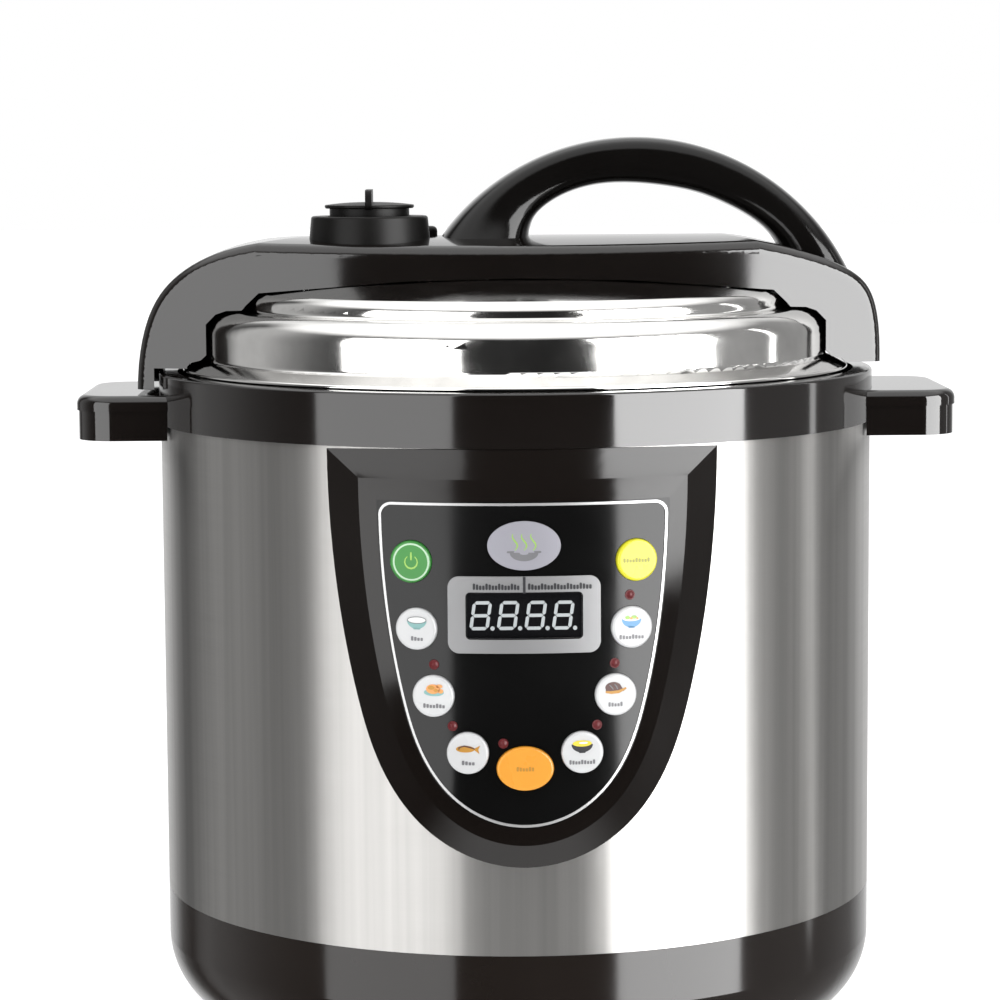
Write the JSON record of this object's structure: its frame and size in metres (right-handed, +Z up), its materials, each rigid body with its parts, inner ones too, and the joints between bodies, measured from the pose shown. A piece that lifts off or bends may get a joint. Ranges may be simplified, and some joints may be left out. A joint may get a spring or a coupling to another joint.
{
  "type": "electric pressure cooker",
  "caption": "Round electric pressure cooker with a steel body, a turning bayonet lid with an arched handle, and a front control panel with push buttons.",
  "frame": {"origin": "on the standing surface, under the pot's vertical centre line", "axes": "+Z up along the pot's centre line, -Y out of the control panel, +X along the lid bridge to the observer's right"},
  "size_m": [0.334, 0.3123, 0.3455],
  "materials": {
    "black_gloss": "high gloss black moulding",
    "black_moulding": "semi-gloss black moulding",
    "brushed_steel": "vertical brushed",
    "polished_steel": "mirror polished",
    "plated_steel": "plain plated",
    "cast_aluminium": "as cast",
    "pot_metal": "satin",
    "spring_steel": "bare",
    "rubber": "soft",
    "silicone": "translucent silicone",
    "panel_black": "gloss",
    "silver_trim": "satin silver",
    "badge_silver": "satin",
    "led_window": "dark window",
    "segment_white": "lit",
    "led_red": "translucent red",
    "button_white": "pearl",
    "button_green": "gloss",
    "button_yellow": "gloss",
    "button_orange": "gloss",
    "board_green": "solder mask",
    "component_dark": "moulded",
    "brass": "turned",
    "cup_clear": "translucent",
    "wire_insulation": "insulation"
  },
  "bodies": {
    "cooker": {"base": "black_moulding", "rubber_feet": "rubber", "chassis_fasteners": "plated_steel", "outer_shell": "brushed_steel", "upper_collar": "black_gloss", "right_handle": "black_gloss", "left_handle": "black_gloss", "wrapper_screws": "plated_steel", "cup_bracket": "black_moulding", "pressure_shell": "plated_steel", "heating_plate": "cast_aluminium", "heating_element": "plated_steel", "sensor_spring": "spring_steel", "spring_plate": "spring_steel", "pressure_switch": "component_dark", "thermal_fuse": "plated_steel", "power_board": "board_green", "power_components": "component_dark", "board_screws": "plated_steel", "power_inlet": "black_moulding", "inlet_pins": "brass", "panel_bezel": "panel_black", "panel_face": "panel_black", "panel_frame": "silver_trim", "display_label": "silver_trim", "display_module": "led_window", "display_segments": "segment_white", "oval_badge": "badge_silver", "indicator_leds": "led_red", "control_board": "board_green", "tact_switches": "component_dark", "board_components": "component_dark", "wiring_harness": "wire_insulation"},
    "condensation_cup": {"condensation_cup": "cup_clear"},
    "temp_sensor": {"temp_sensor": "cast_aluminium"},
    "inner_pot": {"inner_pot": "pot_metal"},
    "lid_liner": {"liner_plate": "plated_steel", "sealing_ring": "silicone", "liner_grommet": "rubber"},
    "lid": {"lid": "polished_steel", "liner_pin": "plated_steel", "lid_bridge": "black_gloss", "lid_fasteners": "plated_steel", "lid_handle": "black_gloss", "valve_housing": "black_moulding", "vent_pipe": "plated_steel", "vent_shield": "plated_steel", "float_guard": "black_moulding"},
    "pressure_valve": {"pressure_valve": "black_moulding", "valve_weight": "brass"},
    "float_valve": {"float_valve": "plated_steel"},
    "button_power": {"button_power": "button_green"},
    "button_cancel": {"button_cancel": "button_yellow"},
    "button_rice": {"button_rice": "button_white"},
    "button_vegetable": {"button_vegetable": "button_white"},
    "button_chicken": {"button_chicken": "button_white"},
    "button_beef": {"button_beef": "button_white"},
    "button_fish": {"button_fish": "button_white"},
    "button_porridge": {"button_porridge": "button_white"},
    "button_start": {"button_start": "button_orange"}
  },
  "joints": [
    {"name": "pot_lift", "type": "slide", "parent": "cooker", "child": "inner_pot", "axis": [0, 0, 1], "range_m": [0, 0.18]},
    {"name": "lid_lift", "type": "slide", "parent": "inner_pot", "child": "lid_liner", "axis": [0, 0, 1], "range_m": [0, 0.12]},
    {"name": "lid_turn", "type": "hinge", "parent": "lid_liner", "child": "lid", "pos_m": [0, 0, 0.26], "axis": [0, 0, 1], "range_deg": [-18, 0]},
    {"name": "valve_turn", "type": "hinge", "parent": "lid", "child": "pressure_valve", "pos_m": [-0.0555, -0.014, 0.312], "axis": [0, 0, 1], "range_deg": [0, 60]},
    {"name": "float_rise", "type": "slide", "parent": "lid", "child": "float_valve", "axis": [0, 0, 1], "range_m": [0, 0.004]},
    {"name": "cup_pull", "type": "slide", "parent": "cooker", "child": "condensation_cup", "axis": [0, 1, 0], "range_m": [0, 0.05]},
    {"name": "sensor_press", "type": "slide", "parent": "cooker", "child": "temp_sensor", "axis": [0, 0, 1], "range_m": [-0.002, 0], "stiffness_N_per_m": 600, "springref_m": 0.003, "deforming": ["sensor_spring"]},
    {"name": "power_press", "type": "slide", "parent": "cooker", "child": "button_power", "axis": [0.2815, 0.9596, 0], "range_m": [0, 0.0008], "stiffness_N_per_m": 400, "springref_m": -0.001},
    {"name": "cancel_press", "type": "slide", "parent": "cooker", "child": "button_cancel", "axis": [-0.2815, 0.9596, 0], "range_m": [0, 0.0008], "stiffness_N_per_m": 400, "springref_m": -0.001},
    {"name": "rice_press", "type": "slide", "parent": "cooker", "child": "button_rice", "axis": [0.2686, 0.9632, 0], "range_m": [0, 0.0008], "stiffness_N_per_m": 400, "springref_m": -0.001},
    {"name": "vegetable_press", "type": "slide", "parent": "cooker", "child": "button_vegetable", "axis": [-0.2686, 0.9632, 0], "range_m": [0, 0.0008], "stiffness_N_per_m": 400, "springref_m": -0.001},
    {"name": "chicken_press", "type": "slide", "parent": "cooker", "child": "button_chicken", "axis": [0.2278, 0.9737, 0], "range_m": [0, 0.0008], "stiffness_N_per_m": 400, "springref_m": -0.001},
    {"name": "beef_press", "type": "slide", "parent": "cooker", "child": "button_beef", "axis": [-0.2278, 0.9737, 0], "range_m": [0, 0.0008], "stiffness_N_per_m": 400, "springref_m": -0.001},
    {"name": "fish_press", "type": "slide", "parent": "cooker", "child": "button_fish", "axis": [0.1433, 0.9897, 0], "range_m": [0, 0.0008], "stiffness_N_per_m": 400, "springref_m": -0.001},
    {"name": "porridge_press", "type": "slide", "parent": "cooker", "child": "button_porridge", "axis": [-0.1433, 0.9897, 0], "range_m": [0, 0.0008], "stiffness_N_per_m": 400, "springref_m": -0.001},
    {"name": "start_press", "type": "slide", "parent": "cooker", "child": "button_start", "axis": [0, 1, 0], "range_m": [0, 0.0008], "stiffness_N_per_m": 400, "springref_m": -0.001}
  ]
}
